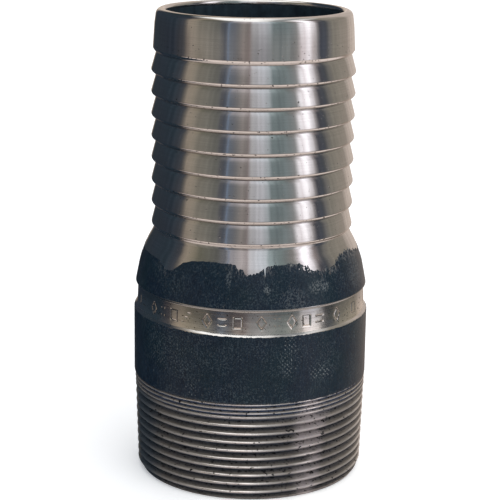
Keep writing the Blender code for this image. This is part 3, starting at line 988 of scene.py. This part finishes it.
# Between which heights of a ray, from -1 down to 1 up, each level of the room fades in
LOW_FADE = (-0.24, -0.12)
LEVEL_FADE = (-0.06, 0.16)
HIGH_FADE = (0.30, 0.53)
CEILING_FADE = (0.74, 0.85)
FLOOR_EDGE_FADE = (-0.27, -0.45)
FLOOR_FADE = (-0.42, -0.58)
# Folds in the walls' cloth: how many there are round the room, and how dark they get
FOLDS = 70.0
FOLD_SHADE = 0.22
# Where a dark drape hides the floor: its azimuth, and the half widths where it fades out
DRAPE = (-128, 28, 34)
# The light for every ray that isn't a mirrored one: at the far left, and elsewhere
SOFT_LEFT = (0.18, 0.25, 0.34, 1)
SOFT = (1.12, 1.12, 1.12, 1)
FLOOR_GLOW = 0.28


def colour_ramp(tree, place, stops):
    """A colour ramp over a value from 0 to 1."""
    node = tree.add("ShaderNodeValToRGB", Fac=place)
    elements = node.color_ramp.elements
    while len(elements) < len(stops):
        elements.new(1.0)
    for element, (position, colour) in zip(elements, stops):
        element.position = position
        element.color = (*colour, 1)
    return node.outputs[0]


def make_studio():
    """A soft room that the steel mirrors, and a plain pale one for everything else."""
    world = bpy.data.worlds.new("studio")
    bpy.context.scene.world = world
    tree = Tree(world)
    ray = tree.add("ShaderNodeTexCoord").outputs["Generated"]
    split = tree.add("ShaderNodeSeparateXYZ", Vector=ray)
    across, height = split.outputs["X"], split.outputs["Z"]
    turn = tree.math("ARCTAN2", across, tree.math("MULTIPLY", split.outputs["Y"], -1.0))
    place = tree.math("ADD", tree.math("DIVIDE", turn, math.tau), 0.5)
    deep, low, level, high = (
        colour_ramp(tree, place, [((row[0] + 180) / 360, row[column]) for row in WALLS])
        for column in (1, 2, 3, 4)
    )
    room = tree.mix(tree.ramp(height, *LOW_FADE), deep, low)
    room = tree.mix(tree.ramp(height, *LEVEL_FADE), room, level)
    room = tree.mix(tree.ramp(height, *HIGH_FADE), room, high)
    for azimuth, half_width, colour, strength in STRIPES:
        away = tree.math("ABSOLUTE", tree.math("SUBTRACT", place, (azimuth + 180) / 360))
        near = tree.ramp(away, half_width / 360, 0.3 * half_width / 360)
        room = tree.mix(tree.math("MULTIPLY", near, strength), room, (*colour, 1))
    folds = tree.add("ShaderNodeTexNoise", {"noise_dimensions": "1D"}, W=place, Scale=FOLDS, Detail=3.0)
    shaded = tree.mix(FOLD_SHADE, room, (0, 0, 0, 1))
    room = tree.mix(tree.ramp(folds.outputs["Fac"], 0.75, 0.35), room, shaded)
    ceiling = colour_ramp(tree, tree.math("MULTIPLY_ADD", across, 0.5, 0.5),
                          [((spot + 1) / 2, colour) for spot, colour in CEILING])
    room = tree.mix(tree.ramp(height, *CEILING_FADE), room, ceiling)
    from_drape = tree.math("ABSOLUTE", tree.math("SUBTRACT", place, (DRAPE[0] + 180) / 360))
    clear = tree.ramp(from_drape, DRAPE[1] / 360, DRAPE[2] / 360)
    room = tree.mix(tree.math("MULTIPLY", clear, tree.ramp(height, *FLOOR_EDGE_FADE)), room, FLOOR_EDGE)
    room = tree.mix(tree.math("MULTIPLY", clear, tree.ramp(height, *FLOOR_FADE)), room, FLOOR)
    mirrored = tree.add("ShaderNodeLightPath").outputs["Is Glossy Ray"]
    soft = tree.mix(tree.ramp(across, -0.9, -0.05), SOFT_LEFT, SOFT)
    light = tree.add("ShaderNodeBackground", Color=tree.mix(mirrored, soft, room), Strength=1.0)
    output = tree.add("ShaderNodeOutputWorld")
    tree.tree.links.new(light.outputs[0], output.inputs["Surface"])


def make_floor():
    """A plain pale floor that the steel doesn't mirror."""
    bpy.ops.mesh.primitive_plane_add(size=8.0, location=(0, 0, -0.0001))
    floor = bpy.context.object
    floor.name = "floor"
    material, tree = new_material("pale_floor")
    speck = tree.noise(tree.stretched(9, 9), 2.0)
    colour = tree.mix(speck, (0.94, 0.94, 0.94, 1), (0.96, 0.96, 0.96, 1))
    tree.surface(colour, 0.9, 0.0, tree.bump(speck, 0.0001),
                 Emission_Color=(1, 1, 1, 1), Emission_Strength=FLOOR_GLOW)
    floor.data.materials.append(material)
    floor.visible_glossy = False


def make_lamp(name, azimuth, elevation, distance, size, power):
    """A square softbox aimed at the nipple's middle."""
    lamp = bpy.data.lights.new(name, "AREA")
    lamp.shape = "SQUARE"
    lamp.size = size
    lamp.energy = power
    item = bpy.data.objects.new(name, lamp)
    turn, rise = math.radians(azimuth), math.radians(elevation)
    back = Matrix.Rotation(turn, 4, "Z") @ Matrix.Rotation(math.radians(90) - rise, 4, "X")
    middle = Matrix.Translation((0, 0, LENGTH / 2000))
    item.matrix_world = middle @ back @ Matrix.Translation((0, 0, distance))
    item.visible_camera = False
    item.visible_glossy = False
    bpy.context.scene.collection.objects.link(item)


# The camera's place in metres, its angles in degrees and its lens in millimetres
CAMERA_PLACE = (-0.0003, -0.427, 0.1689)
CAMERA_DIP = 14.67
CAMERA_ROLL = 0.8
CAMERA_LENS = 123.3


def make_camera():
    """The camera at the photograph's angle."""
    camera = bpy.data.cameras.new("camera")
    camera.lens = CAMERA_LENS
    camera.sensor_width = 36
    camera.clip_start = 0.01
    item = bpy.data.objects.new("camera", camera)
    tilt = Matrix.Rotation(math.radians(90 - CAMERA_DIP), 4, "X")
    roll = Matrix.Rotation(math.radians(CAMERA_ROLL), 4, "Z")
    item.matrix_world = Matrix.Translation(CAMERA_PLACE) @ tilt @ roll
    bpy.context.scene.collection.objects.link(item)
    bpy.context.scene.camera = item


# ---------------------------------------------------------------- all together

def main():
    """Build the pieces, their finishes and the studio."""
    paint_steel(make_steel())
    lacquer = black_lacquer()
    make_shoulder_film().data.materials.append(lacquer)
    make_grip_film().data.materials.append(lacquer)
    make_bore_film().data.materials.append(mill_scale())
    make_floor()
    make_studio()
    make_lamp("key_softbox", azimuth=35, elevation=50, distance=1.6, size=1.2, power=6)
    make_camera()
    bpy.context.scene.view_settings.view_transform = "Standard"


main()
